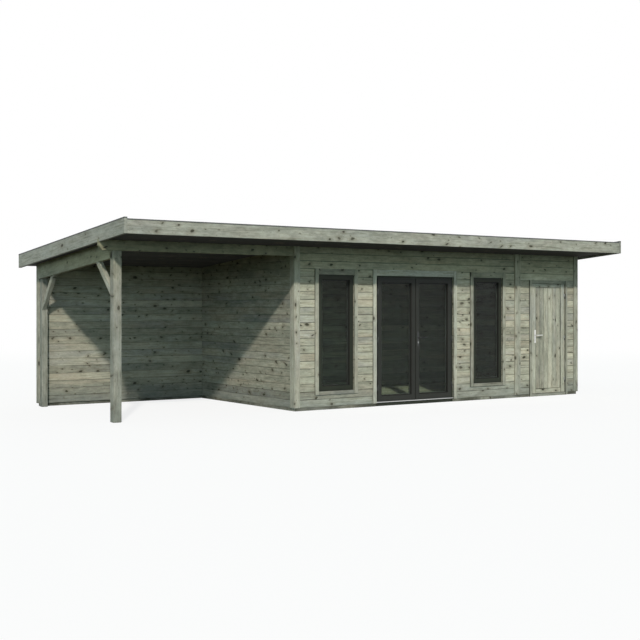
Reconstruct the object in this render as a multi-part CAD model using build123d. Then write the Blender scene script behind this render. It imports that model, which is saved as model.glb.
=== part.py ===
from build123d import *
import math
import os

os.makedirs("parts", exist_ok=True)

# Driving dimensions of the building, in millimetres.
SHELTER_W = 2840.0  # left face of the posts to the cabin's left wall
BODY_D = 2995.0  # depth over the front and rear cladding
WALL_T = 110.0  # thickness of a clad wall panel
OVER_LEFT = 205.0  # roof overhang beyond the posts
OVER_RIGHT = 241.0  # roof overhang beyond the right wall
OVER_FRONT = 800.0  # roof overhang at the front
OVER_REAR = 180.0  # roof overhang at the rear
SLOPE_DEG = 4.5  # fall of the roof to the rear
UNDER_Z = 2480.0  # underside of the roof at its front edge

# Roof build-up.
LINING_T = 18.0  # boards under the rafters
RAFTER_H = 102.0  # depth of a rafter
RAFTER_W = 58.0  # width of a rafter
RAFTER_COUNT = 15  # rafters from one side fascia to the other
DECK_T = 20.0  # boards on the rafters
FELT_T = 5.0  # roofing felt on the deck
FASCIA_T = 28.0  # front and rear fascia boards
FASCIA_DROP = 30.0  # fascia below the underside of the roof
FASCIA_H = 175.0  # front fascia without its capping
SIDE_T = 45.0  # side fascia boards
SIDE_H = 195.0  # side fascia without its capping
CAP_H = 15.0  # capping on the fascias

# Base, floor and shelter timbers.
BASE_H = 45.0  # height of the base beams
BASE_W = 90.0  # width of the base beams
JOIST_W = 45.0  # width of a floor joist
JOIST_COUNT = 11  # floor joists
FLOOR_T = 20.0  # floor boards
POST = 116.0  # side of a post
POST_EDGE = 8.0  # eased edges of the posts
POST_FOOT = 7.0  # eased bottom ends of the posts
REAR_POST = 90.0  # width of the rear post along the wall
END_IN = 14.0  # shelter wall's end board behind the front post's left face
BASE_IN = 20.0  # base beam behind the end of the shelter wall
BEAM_Z = 2276.0  # underside of the front beam
BEAM_W = 60.0  # width of the front beam
BEAM_OUT = 205.0  # front beam past the post
BEAM_CUT = 65.0  # length of the bevel at the free end of the front beam
BEAM_CUT_H = 90.0  # height of that bevel
SIDE_BEAM_H = 232.0  # depth of the side beam
SIDE_BEAM_W = 60.0  # width of the side beam
BRACE_W = 75.0  # width of a brace across its length
BRACE_RUN = 485.0  # brace foot below the side beam, and its head from the post
BRACE_T = 60.0  # thickness of a brace

# Trims and casings.
TRIM_T = 20.0  # thickness of the trims and casings
CORNER_SIDE = 125.0  # corner trim on the side wall
CORNER_FRONT = 98.0  # corner trim on the front wall
WINDOW_CASING = 66.0  # casing boards beside a window
WINDOW_HEAD = 88.0  # casing board over a window
SILL_H = 54.0  # sill board under a window
DOOR_CASING = 67.0  # casing boards beside the double door
DOOR_HEAD = 95.0  # casing board over the double door
STORE_CASING = 57.0  # casing boards around the store door
BATTEN_W = 130.0  # cover batten on the front wall
TRIM_UP = 1.0  # trims end this far above the base beams

# Front wall from left to right: plain wall and openings in turn, which add up to its width.
PIER_LEFT = 412.0  # corner to the first window
WINDOW_W = 650.0  # width over a window frame
PIER_DOOR_L = 423.0  # first window to the double door
DOOR_W = 1560.0  # width over the double door's frame
PIER_DOOR_R = 423.0  # double door to the second window
PIER_STORE = 661.0  # second window to the store doorway
STORE_W = 842.0  # width of the store doorway in the wall
PIER_RIGHT = 273.0  # store doorway to the corner
BATTEN_IN = 280.0  # second window to the cover batten
CABIN_W = (
    PIER_LEFT
    + WINDOW_W
    + PIER_DOOR_L
    + DOOR_W
    + PIER_DOOR_R
    + WINDOW_W
    + PIER_STORE
    + STORE_W
    + PIER_RIGHT
)

# Heights of the openings.
WINDOW_Z = 276.0  # bottom of the window frames
HEAD_Z = 2013.0  # top of the window and door frames
STORE_HEAD_Z = 1953.0  # top of the store doorway in the wall

# Windows, and the glazed double door.
WINDOW_D = 72.0  # depth of a window frame
WINDOW_FACE = 84.0  # casing to glass on a window
WINDOW_RIM = 10.0  # fixed frame seen around a window's sash
FRAME_BACK = 16.0  # fixed frames behind the face of the cladding
DOOR_FACE = 30.0  # face width of the double door's frame
DOOR_STOP = 14.0  # stop that the leaves close against
SILL_Z = 55.0  # top of the double door's bottom member
STRIP_T = 12.0  # thickness of the threshold strip on it
STRIP_OUT = 6.0  # nosing of that strip in front of the cladding
GLASS_T = 24.0  # thickness of a sealed glass unit
GLASS_BACK = 38.0  # glass behind the face of its leaf or sash
LEAF_T = 68.0  # thickness of a glazed leaf
STILE_W = 84.0  # stiles of a glazed leaf
RAIL_TOP = 80.0  # top rail of a glazed leaf
RAIL_LOW = 93.0  # bottom rail of a glazed leaf
GAP = 5.0  # clearance around a leaf
MEET_GAP = 11.0  # clearance at a leaf's free edge, so that it can swing
GROOVE = 10.0  # depth of the grooves that hold panes and planks

# Store door.
LINING_W = 22.0  # lining of the store doorway
STORE_T = 40.0  # thickness of the store leaf
STORE_STILE = 92.0  # stiles of the store leaf
STORE_RAIL_TOP = 62.0  # top rail of the store leaf
STORE_RAIL_LOW = 75.0  # bottom rail of the store leaf
PLANK_T = 18.0  # planks of the store leaf
PLANK_BACK = 6.0  # planks behind the face of the store leaf

# Hinges: a fixed knuckle with a pin, and a bored knuckle on the leaf above it.
HINGE_R = 6.0  # radius of a knuckle
HINGE_L = 42.0  # length of one knuckle
HINGE_Y = 7.5  # hinge line in front of the leaf
HINGE_PIN = 3.0  # radius of a hinge pin
HINGE_PLAY = 0.3  # play around a pin, and between knuckles
FLAP_W = 16.0  # width of a hinge flap
FLAP_T = 3.0  # thickness of a hinge flap
HINGE_END = 170.0  # hinges from the ends of a leaf
HINGE_POCKET = 2.0  # room around a hinge that is let into a casing

# Handles.
PLATE_W = 34.0  # width of a handle plate
PLATE_UP = 90.0  # handle plate above its lever
PLATE_DOWN = 133.0  # handle plate below its lever
PLATE_T = 6.0  # thickness of a handle plate
PLATE_EDGE = 3.0  # handle plate from the inner edge of its stile
CYLINDER_R = 9.0  # radius of a lock cylinder
CYLINDER_OUT = 4.0  # lock cylinder in front of its plate
CYLINDER_DOWN = 72.0  # lock cylinder below the lever
LEVER_R = 9.0  # radius of a lever
LEVER_OUT = 52.0  # lever away from the leaf
LEVER_L = 130.0  # length of a lever
HANDLE_Z = 1048.0  # height of the levers

# Positions that follow from the dimensions.
ROOF_L = OVER_LEFT + SHELTER_W + CABIN_W + OVER_RIGHT
ROOF_D = OVER_FRONT + BODY_D + OVER_REAR
X_END0 = -ROOF_L / 2
X_END1 = ROOF_L / 2
X_POST = X_END0 + OVER_LEFT
X_CAB = X_POST + SHELTER_W
X_REAR_POST = X_POST + POST - REAR_POST
X_WALL_END = X_POST + END_IN + TRIM_T
X_RIGHT = X_CAB + CABIN_W
Y_EDGE = -ROOF_D / 2
Y_FRONT = Y_EDGE + OVER_FRONT
Y_REAR = Y_FRONT + BODY_D
Y_BACK = Y_REAR + OVER_REAR
Y_IN0 = Y_FRONT + WALL_T
Y_IN1 = Y_REAR - WALL_T
FLOOR_Z = BASE_H + FLOOR_T
TRIM_Z = BASE_H + TRIM_UP
FALL = math.tan(math.radians(SLOPE_DEG))
window_x = (
    X_CAB + PIER_LEFT,
    X_CAB + PIER_LEFT + WINDOW_W + PIER_DOOR_L + DOOR_W + PIER_DOOR_R,
)
door_x0 = window_x[0] + WINDOW_W + PIER_DOOR_L
door_x1 = door_x0 + DOOR_W
store_x0 = window_x[1] + WINDOW_W + PIER_STORE
store_x1 = store_x0 + STORE_W
batten_x0 = window_x[1] + WINDOW_W + BATTEN_IN
y_jamb = Y_FRONT + BASE_W  # back of the door frames, in line with the base beams


def under(y):
    """Height of the roof's underside at depth y."""
    return UNDER_Z - FALL * (y - Y_EDGE)


def block(x0, x1, y0, y1, z0, z1):
    """Box between two corners."""
    size = Box(x1 - x0, y1 - y0, z1 - z0)
    return Pos((x0 + x1) / 2, (y0 + y1) / 2, (z0 + z1) / 2) * size


def prism_x(x0, x1, outline):
    """Profile given as (y, z) points, drawn out along X."""
    face = make_face(Polyline(*[(x0, y, z) for y, z in outline], close=True))
    return extrude(face, amount=x1 - x0, dir=(1, 0, 0))


def sloped(x0, x1, y0, y1, low, high):
    """Layer that follows the roof, with offsets from its underside."""
    outline = [
        (y0, under(y0) + low),
        (y1, under(y1) + low),
        (y1, under(y1) + high),
        (y0, under(y0) + high),
    ]
    return prism_x(x0, x1, outline)


def panel(x0, x1, y0, y1, z0):
    """Wall panel from z0 up to the roof's underside."""
    outline = [(y0, z0), (y1, z0), (y1, under(y1)), (y0, under(y0))]
    return prism_x(x0, x1, outline)


def ring(x0, x1, y0, y1, z0, z1, side, low, top):
    """Rectangular frame standing in the XZ plane."""
    hole = block(x0 + side, x1 - side, y0 - 1, y1 + 1, z0 + low, z1 - top)
    return block(x0, x1, y0, y1, z0, z1) - hole


def save(name, *solids):
    """Writes the solids of one node."""
    shape = Compound(children=[s for s in solids]) if len(solids) > 1 else solids[0]
    export_step(shape, f"parts/{name}.step")


# Base beams on the ground, broken at the doorways, with floor joists between them.
save(
    "base_long",
    block(X_CAB, door_x0, Y_FRONT, y_jamb, 0, BASE_H),
    block(door_x1, store_x0, Y_FRONT, y_jamb, 0, BASE_H),
    block(store_x1, X_RIGHT, Y_FRONT, y_jamb, 0, BASE_H),
    block(X_WALL_END + BASE_IN, X_RIGHT, Y_REAR - BASE_W, Y_REAR, 0, BASE_H),
)
y_base0 = Y_FRONT + BASE_W
y_base1 = Y_REAR - BASE_W
cross = [
    block(X_CAB, X_CAB + BASE_W, y_base0, y_base1, 0, BASE_H),
    block(X_RIGHT - BASE_W, X_RIGHT, y_base0, y_base1, 0, BASE_H),
]
joist_pitch = (CABIN_W - 2 * BASE_W) / (JOIST_COUNT + 1)
for i in range(JOIST_COUNT):
    x = X_CAB + BASE_W + joist_pitch * (i + 1)
    half = JOIST_W / 2
    cross.append(block(x - half, x + half, y_base0, y_base1, 0, BASE_H))
save("base_cross", *cross)
floor = block(X_CAB + WALL_T, X_RIGHT - WALL_T, Y_IN0, Y_IN1, BASE_H, FLOOR_Z)
for x0, x1 in ((door_x0, door_x1), (store_x0, store_x1)):
    floor += block(x0, x1, y_jamb, Y_IN0, BASE_H, FLOOR_Z)
save("floor", floor)


# Walls of the cabin, split beside and over the two doorways.
def window_hole(x):
    """Cutter for the window opening that starts at x."""
    return block(x, x + WINDOW_W, Y_FRONT - 1, Y_IN0 + 1, WINDOW_Z, HEAD_Z)


save(
    "wall_front",
    panel(X_CAB, door_x0, Y_FRONT, Y_IN0, BASE_H) - window_hole(window_x[0]),
    panel(door_x1, store_x0, Y_FRONT, Y_IN0, BASE_H) - window_hole(window_x[1]),
    panel(store_x1, X_RIGHT, Y_FRONT, Y_IN0, BASE_H),
)
save(
    "wall_over_doors",
    panel(door_x0, door_x1, Y_FRONT, Y_IN0, HEAD_Z),
    panel(store_x0, store_x1, Y_FRONT, Y_IN0, STORE_HEAD_Z),
)
save(
    "wall_sides",
    panel(X_CAB, X_CAB + WALL_T, Y_IN0, Y_IN1, BASE_H),
    panel(X_RIGHT - WALL_T, X_RIGHT, Y_IN0, Y_IN1, BASE_H),
)
save("wall_rear", panel(X_CAB, X_RIGHT, Y_IN1, Y_REAR, BASE_H))
save("wall_shelter", panel(X_WALL_END, X_CAB, Y_IN1, Y_REAR, BASE_H))



# Corner trims, each an angle around a corner, and the shelter wall's end board.
def corner(x, y, dx, dy):
    """Angle trim around the wall corner at (x, y), facing dx and dy."""
    xa = x + dx * TRIM_T
    ya = y + dy * TRIM_T
    xb = xa - dx * CORNER_FRONT
    yb = ya - dy * CORNER_SIDE
    front = block(min(xa, xb), max(xa, xb), min(y, ya), max(y, ya), TRIM_Z, UNDER_Z)
    side = block(min(x, xa), max(x, xa), min(ya, yb), max(ya, yb), TRIM_Z, UNDER_Z)
    roof_space = sloped(X_END0, X_END1, Y_EDGE, Y_BACK, 0, UNDER_Z)
    return front + side - roof_space


shelter_end = block(
    X_WALL_END - TRIM_T, X_WALL_END, Y_IN1, Y_REAR, TRIM_Z, under(Y_REAR)
)
save(
    "corner_trims",
    corner(X_CAB, Y_FRONT, -1, -1),
    corner(X_RIGHT, Y_FRONT, 1, -1),
    corner(X_RIGHT, Y_REAR, 1, 1),
    shelter_end,
)
save(
    "cover_batten",
    block(
        batten_x0, batten_x0 + BATTEN_W, Y_FRONT - TRIM_T, Y_FRONT, TRIM_Z, under(Y_FRONT)
    ),
)

# Casings around the windows, with a sill board below.
casings = []
for x in window_x:
    casings.append(
        ring(
            x - WINDOW_CASING,
            x + WINDOW_W + WINDOW_CASING,
            Y_FRONT - TRIM_T,
            Y_FRONT,
            WINDOW_Z - SILL_H,
            HEAD_Z + WINDOW_HEAD,
            WINDOW_CASING,
            SILL_H,
            WINDOW_HEAD,
        )
    )
save("window_casings", *casings)

# Casing beside and over the double door.
casing = block(
    door_x0 - DOOR_CASING,
    door_x1 + DOOR_CASING,
    Y_FRONT - TRIM_T,
    Y_FRONT,
    TRIM_Z,
    HEAD_Z + DOOR_HEAD,
)
casing -= block(door_x0, door_x1, Y_FRONT - TRIM_T - 1, Y_FRONT + 1, 0, HEAD_Z)
save("door_casing", casing)

# Fixed windows: a sash in a frame that lies further back, in one piece, and a pane.
frames = []
panes = []
for x in window_x:
    x1 = x + WINDOW_W
    f = WINDOW_FACE
    frame = ring(x, x1, Y_FRONT + FRAME_BACK, Y_FRONT + WINDOW_D, WINDOW_Z, HEAD_Z, f, f, f)
    rim = WINDOW_RIM
    s = f - rim
    frame += ring(
        x + rim, x1 - rim, Y_FRONT, Y_FRONT + FRAME_BACK, WINDOW_Z + rim, HEAD_Z - rim, s, s, s
    )
    g0 = Y_FRONT + GLASS_BACK
    g = f - GROOVE
    pane = block(x + g, x1 - g, g0, g0 + GLASS_T, WINDOW_Z + g, HEAD_Z - g)
    frames.append(frame - pane)
    panes.append(pane)
save("window_frames", *frames)
save("window_panes", *panes)

# Double door: a frame with a stop behind the leaves, which stands on the ground.
leaf_y0 = Y_FRONT
leaf_back = leaf_y0 + LEAF_T + GAP
f = DOOR_FACE
door_frame = ring(
    door_x0, door_x1, Y_FRONT + FRAME_BACK, leaf_back, 0, HEAD_Z, f, SILL_Z, f
)
s = f + DOOR_STOP
door_frame += ring(door_x0, door_x1, leaf_back, y_jamb, 0, HEAD_Z, s, SILL_Z, s)
save("door_frame", door_frame)

# Metal strip on the bottom member, with a nosing in front.
strip_z1 = SILL_Z + STRIP_T
strip = block(door_x0 + f, door_x1 - f, Y_FRONT + FRAME_BACK, leaf_back, SILL_Z, strip_z1)
strip += block(
    door_x0, door_x1, Y_FRONT - STRIP_OUT, Y_FRONT + FRAME_BACK, SILL_Z, strip_z1
)
save("door_threshold", strip)

# Two glazed leaves.
leaf_z0 = strip_z1 + GAP
leaf_z1 = HEAD_Z - f - GAP
leaf_w = (DOOR_W - 2 * f - 2 * GAP - MEET_GAP) / 2
leaf_l0 = door_x0 + f + GAP
leaf_r0 = leaf_l0 + leaf_w + MEET_GAP
for name, x0 in (("left", leaf_l0), ("right", leaf_r0)):
    x1 = x0 + leaf_w
    frame = block(x0, x1, leaf_y0, leaf_y0 + LEAF_T, leaf_z0, leaf_z1)
    frame -= block(
        x0 + STILE_W,
        x1 - STILE_W,
        leaf_y0 - 1,
        leaf_y0 + LEAF_T + 1,
        leaf_z0 + RAIL_LOW,
        leaf_z1 - RAIL_TOP,
    )
    g0 = leaf_y0 + GLASS_BACK
    s = STILE_W - GROOVE
    pane = block(
        x0 + s,
        x1 - s,
        g0,
        g0 + GLASS_T,
        leaf_z0 + RAIL_LOW - GROOVE,
        leaf_z1 - RAIL_TOP + GROOVE,
    )
    save(f"leaf_{name}_frame", frame - pane)
    save(f"leaf_{name}_pane", pane)

# Store door: lining with a threshold on the ground, and a framed plank leaf.
w = LINING_W
save(
    "store_lining",
    ring(store_x0, store_x1, Y_FRONT, y_jamb, 0, STORE_HEAD_Z, w, BASE_H, w),
)
st_x0 = store_x0 + w + MEET_GAP
st_x1 = store_x1 - w - GAP
st_z0 = BASE_H + GAP
st_z1 = STORE_HEAD_Z - w - GAP
st_y0 = Y_FRONT
store_frame = ring(
    st_x0,
    st_x1,
    st_y0,
    st_y0 + STORE_T,
    st_z0,
    st_z1,
    STORE_STILE,
    STORE_RAIL_LOW,
    STORE_RAIL_TOP,
)
store_planks = block(
    st_x0 + STORE_STILE - GROOVE,
    st_x1 - STORE_STILE + GROOVE,
    st_y0 + PLANK_BACK,
    st_y0 + PLANK_BACK + PLANK_T,
    st_z0 + STORE_RAIL_LOW - GROOVE,
    st_z1 - STORE_RAIL_TOP + GROOVE,
)
save("store_leaf_frame", store_frame - store_planks)
save("store_leaf_planks", store_planks)

# Hinges. The jamb lies on side way (-1 or 1) of the hinge line.
def knuckle(x, z, radius, length):
    """Round bar on the hinge line at x, standing on z."""
    y = Y_FRONT - HINGE_Y
    return Pos(x, y, z + length / 2) * Cylinder(radius, length)


def flap(x, z, way, back):
    """Flap beside the hinge line, on a face that lies back behind the cladding."""
    xa = x + way * GAP / 2
    xb = xa + way * FLAP_W
    return block(min(xa, xb), max(xa, xb), Y_FRONT - FLAP_T, Y_FRONT + back, z, z + HINGE_L)


def hinge_fixed(x, z, way, back):
    """Lower knuckle with the pin, on the jamb."""
    pin = knuckle(x, z + HINGE_L, HINGE_PIN, HINGE_L)
    return knuckle(x, z, HINGE_R, HINGE_L) + flap(x, z, way, back) + pin


def hinge_moving(x, z, way):
    """Upper knuckle, bored for the pin, on the leaf."""
    z1 = z + HINGE_L + HINGE_PLAY
    body = knuckle(x, z1, HINGE_R, HINGE_L) + flap(x, z1, -way, 0)
    return body - knuckle(x, z1 - 1, HINGE_PIN + HINGE_PLAY, HINGE_L + 2)


def hinge_levels(low, high):
    """Bottoms of the three hinges on a leaf."""
    z_low = low + HINGE_END
    z_high = high - HINGE_END - 2 * HINGE_L
    return z_low, (z_low + z_high) / 2, z_high


pins = []
hinge_sets = (
    ("leaf_left_hinges", leaf_l0 - GAP / 2, -1, FRAME_BACK, hinge_levels(leaf_z0, leaf_z1)),
    (
        "leaf_right_hinges",
        leaf_r0 + leaf_w + GAP / 2,
        1,
        FRAME_BACK,
        hinge_levels(leaf_z0, leaf_z1),
    ),
    ("store_leaf_hinges", st_x1 + GAP / 2, 1, 0, hinge_levels(st_z0, st_z1)),
)
for name, x, way, back, levels in hinge_sets:
    pins += [hinge_fixed(x, z, way, back) for z in levels]
    save(name, *[hinge_moving(x, z, way) for z in levels])
save("hinge_pins", *pins)

# Casing around the store door, down to the ground, cut out around the hinges.
casing_x0 = store_x0 + LINING_W - STORE_CASING
casing_x1 = store_x1 - LINING_W + STORE_CASING
casing_z1 = STORE_HEAD_Z - LINING_W + STORE_CASING
c = STORE_CASING
store_casing = ring(
    casing_x0, casing_x1, Y_FRONT - TRIM_T, Y_FRONT, 0, casing_z1, c, BASE_H, c
)
pocket_x1 = st_x1 + GAP + FLAP_W + HINGE_POCKET
for z in hinge_levels(st_z0, st_z1):
    store_casing -= block(
        st_x1,
        pocket_x1,
        Y_FRONT - TRIM_T - 1,
        Y_FRONT + 1,
        z - HINGE_POCKET,
        z + 2 * HINGE_L + HINGE_PLAY + HINGE_POCKET,
    )
save("store_casing", store_casing)


# Handle plates and levers.
NECK_CLEAR = 0.6  # play of a lever's neck in its plate


def bar_y(x, y, z, radius, length):
    """Round bar that runs forward from y."""
    return Pos(x, y - length / 2, z) * Rot(90, 0, 0) * Cylinder(radius, length)


def plate(x):
    """Long plate on a leaf's face, bored for the lever, with the lock cylinder below."""
    z0 = HANDLE_Z - PLATE_DOWN
    z1 = HANDLE_Z + PLATE_UP
    body = block(x - PLATE_W / 2, x + PLATE_W / 2, Y_FRONT - PLATE_T, Y_FRONT, z0, z1)
    body -= bar_y(x, Y_FRONT + 1, HANDLE_Z, LEVER_R + NECK_CLEAR, PLATE_T + 2)
    return body + bar_y(
        x, Y_FRONT, HANDLE_Z - CYLINDER_DOWN, CYLINDER_R, PLATE_T + CYLINDER_OUT
    )


def lever(x):
    """Lever on a round neck, reaching to the right."""
    neck = bar_y(x, Y_FRONT - 1, HANDLE_Z, LEVER_R, LEVER_OUT - 1)
    turn = Pos(x, Y_FRONT - LEVER_OUT, HANDLE_Z)
    arm = turn * Pos(LEVER_L / 2, 0, 0) * Rot(0, 90, 0) * Cylinder(LEVER_R, LEVER_L)
    return neck + arm + turn * Sphere(LEVER_R)


handle_in = PLATE_EDGE + PLATE_W / 2
door_handle_x = leaf_r0 + STILE_W / 2
store_handle_x = st_x0 + STORE_STILE - handle_in
for name, x in (("door", door_handle_x), ("store", store_handle_x)):
    save(f"{name}_plate", plate(x))
    save(f"{name}_lever", lever(x))

# Open shelter: posts, beams and braces.
side_low = -SIDE_BEAM_H


def post(width, y0, top):
    """Post with eased edges and foot, from the ground to top."""
    outline = RectangleRounded(width, POST, POST_EDGE)
    outline = Pos(X_POST + POST - width / 2, y0 + POST / 2, 0) * outline
    body = extrude(outline, amount=top)
    return chamfer(body.edges().group_by(Axis.Z)[0], POST_FOOT)


beam_notch = block(
    X_POST - 1,
    X_POST + SIDE_BEAM_W + 1,
    Y_FRONT - 1,
    Y_FRONT + BEAM_W,
    BEAM_Z,
    UNDER_Z,
)
side_space = prism_x(
    X_POST - 1,
    X_POST + SIDE_BEAM_W,
    [
        (Y_EDGE, under(Y_EDGE) + side_low),
        (Y_BACK, under(Y_BACK) + side_low),
        (Y_BACK, UNDER_Z),
        (Y_EDGE, UNDER_Z),
    ],
)
front_post = post(POST, Y_FRONT, BEAM_Z) - side_space
rear_post_y = Y_IN1 - POST
rear_post = post(REAR_POST, rear_post_y, under(Y_IN1)) - side_space
save("posts", front_post, rear_post)
side_beam = prism_x(
    X_POST,
    X_POST + SIDE_BEAM_W,
    [
        (Y_FRONT, under(Y_FRONT) + side_low),
        (Y_IN1, under(Y_IN1) + side_low),
        (Y_IN1, under(Y_IN1)),
        (Y_FRONT, under(Y_FRONT)),
    ],
)
save("side_beam", side_beam - beam_notch)
beam_x0 = X_POST - BEAM_OUT
beam_top = under(Y_FRONT + BEAM_W)
front_beam = block(beam_x0, X_CAB - TRIM_T, Y_FRONT, Y_FRONT + BEAM_W, BEAM_Z, beam_top)
bevel_edge = front_beam.edges().filter_by(Axis.Y).sort_by(Axis.X)[:2].sort_by(Axis.Z)[0]
front_beam = chamfer(bevel_edge, BEAM_CUT_H, BEAM_CUT)
fascia_space = sloped(X_END0, X_END0 + SIDE_T, Y_EDGE, Y_BACK, -FASCIA_DROP, SIDE_H)
save("front_beam", front_beam - fascia_space)


def brace(x, y_post, way):
    """Diagonal brace from a post up to the side beam."""
    y_head = y_post + way * BRACE_RUN
    z_head = under(y_head) + side_low
    z_foot = under(y_post) + side_low - BRACE_RUN
    step = BRACE_W * math.sqrt(2)
    outline = [
        (y_post, z_foot),
        (y_head, z_head),
        (y_head - way * step, under(y_head - way * step) + side_low),
        (y_post, z_foot + step),
    ]
    return prism_x(x, x + BRACE_T, outline)


save(
    "braces",
    brace(X_POST, Y_FRONT + POST, 1),
    brace(X_REAR_POST, rear_post_y, -1),
)

# Roof: lining, rafters, deck, felt, fascias and cappings.
in0 = X_END0 + SIDE_T
in1 = X_END1 - SIDE_T
yf = Y_EDGE + FASCIA_T
yb = Y_BACK - FASCIA_T
save("roof_lining", sloped(in0, in1, yf, yb, 0, LINING_T))
rafter_pitch = (in1 - in0 - RAFTER_W) / (RAFTER_COUNT - 1)
rafters = []
for i in range(RAFTER_COUNT):
    x = in0 + rafter_pitch * i
    rafters.append(sloped(x, x + RAFTER_W, yf, yb, LINING_T, LINING_T + RAFTER_H))
save("rafters", *rafters)
deck_low = LINING_T + RAFTER_H
save("roof_deck", sloped(in0, in1, yf, yb, deck_low, deck_low + DECK_T))
felt_low = deck_low + DECK_T
save("roof_felt", sloped(in0, in1, yf, Y_BACK, felt_low, felt_low + FELT_T))
front_low = UNDER_Z - FASCIA_DROP
save("front_fascia", block(in0, in1, Y_EDGE, yf, front_low, front_low + FASCIA_H))
save("rear_fascia", sloped(in0, in1, yb, Y_BACK, 0, felt_low))
sides = []
caps = [
    block(in0, in1, Y_EDGE, yf, front_low + FASCIA_H, front_low + FASCIA_H + CAP_H),
]
for x0, x1 in ((X_END0, in0), (in1, X_END1)):
    sides.append(sloped(x0, x1, Y_EDGE, Y_BACK, -FASCIA_DROP, SIDE_H - FASCIA_DROP))
    cap_low = SIDE_H - FASCIA_DROP
    caps.append(sloped(x0, x1, Y_EDGE, Y_BACK, cap_low, cap_low + CAP_H))
save("side_fascias", *sides)
save("edge_caps", *caps)
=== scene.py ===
import math
from functools import partialmethod

import bmesh
import bpy
from mathutils import Matrix, Vector


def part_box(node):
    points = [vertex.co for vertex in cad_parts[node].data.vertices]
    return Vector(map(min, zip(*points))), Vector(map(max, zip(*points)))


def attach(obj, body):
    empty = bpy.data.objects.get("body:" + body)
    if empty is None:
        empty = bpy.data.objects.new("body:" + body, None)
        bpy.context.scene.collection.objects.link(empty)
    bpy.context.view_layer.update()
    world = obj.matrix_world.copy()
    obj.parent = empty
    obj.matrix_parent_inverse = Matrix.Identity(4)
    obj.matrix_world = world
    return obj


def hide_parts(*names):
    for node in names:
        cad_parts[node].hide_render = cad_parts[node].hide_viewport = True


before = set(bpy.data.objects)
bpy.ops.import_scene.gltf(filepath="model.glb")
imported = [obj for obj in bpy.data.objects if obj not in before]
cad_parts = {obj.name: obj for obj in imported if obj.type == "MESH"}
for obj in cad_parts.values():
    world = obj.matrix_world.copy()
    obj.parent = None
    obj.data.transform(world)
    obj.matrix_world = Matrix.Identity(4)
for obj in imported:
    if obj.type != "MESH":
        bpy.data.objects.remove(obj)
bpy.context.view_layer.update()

# Studio: a pale floor that runs out to white, a soft key from the front left and a cool
# surround, brightest low down. The camera, glass and metal see the floor and the surround as
# pale, and the light that these throw on the building is set apart from that.


class Term:
    """One output of a node, with sums of such outputs written as Python."""

    def __init__(self, net, socket):
        self.net = net
        self.socket = socket

    def out(self, name):
        """Another output of the same node."""
        for socket in self.socket.node.outputs:
            if socket.enabled and socket.name == name:
                return Term(self.net, socket)
        raise KeyError(name)

    def sum(self, operation, *others):
        values = dict(enumerate((self, *others)))
        return self.net.add("ShaderNodeMath", values, operation=operation)

    __add__ = partialmethod(sum, "ADD")
    __sub__ = partialmethod(sum, "SUBTRACT")
    __mul__ = partialmethod(sum, "MULTIPLY")
    __truediv__ = partialmethod(sum, "DIVIDE")
    __abs__ = partialmethod(sum, "ABSOLUTE")
    __gt__ = partialmethod(sum, "GREATER_THAN")
    least = partialmethod(sum, "MINIMUM")
    most = partialmethod(sum, "MAXIMUM")
    power = partialmethod(sum, "POWER")
    part = partialmethod(sum, "FRACT")  # what is over a whole number

    def __rsub__(self, other):
        return self.net.add("ShaderNodeMath", {0: other, 1: self}, operation="SUBTRACT")

    def wave(self):
        """A whole turn for each unit, from 0 to 1."""
        return (self * (2 * math.pi)).sum("SINE") * 0.5 + 0.5

    def ramp(self, low, high):
        """0 up to low, 1 from high on, smooth between."""
        sockets = {"Value": self, "From Min": low, "From Max": high}
        return self.net.add("ShaderNodeMapRange", sockets, interpolation_type="SMOOTHSTEP")


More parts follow.
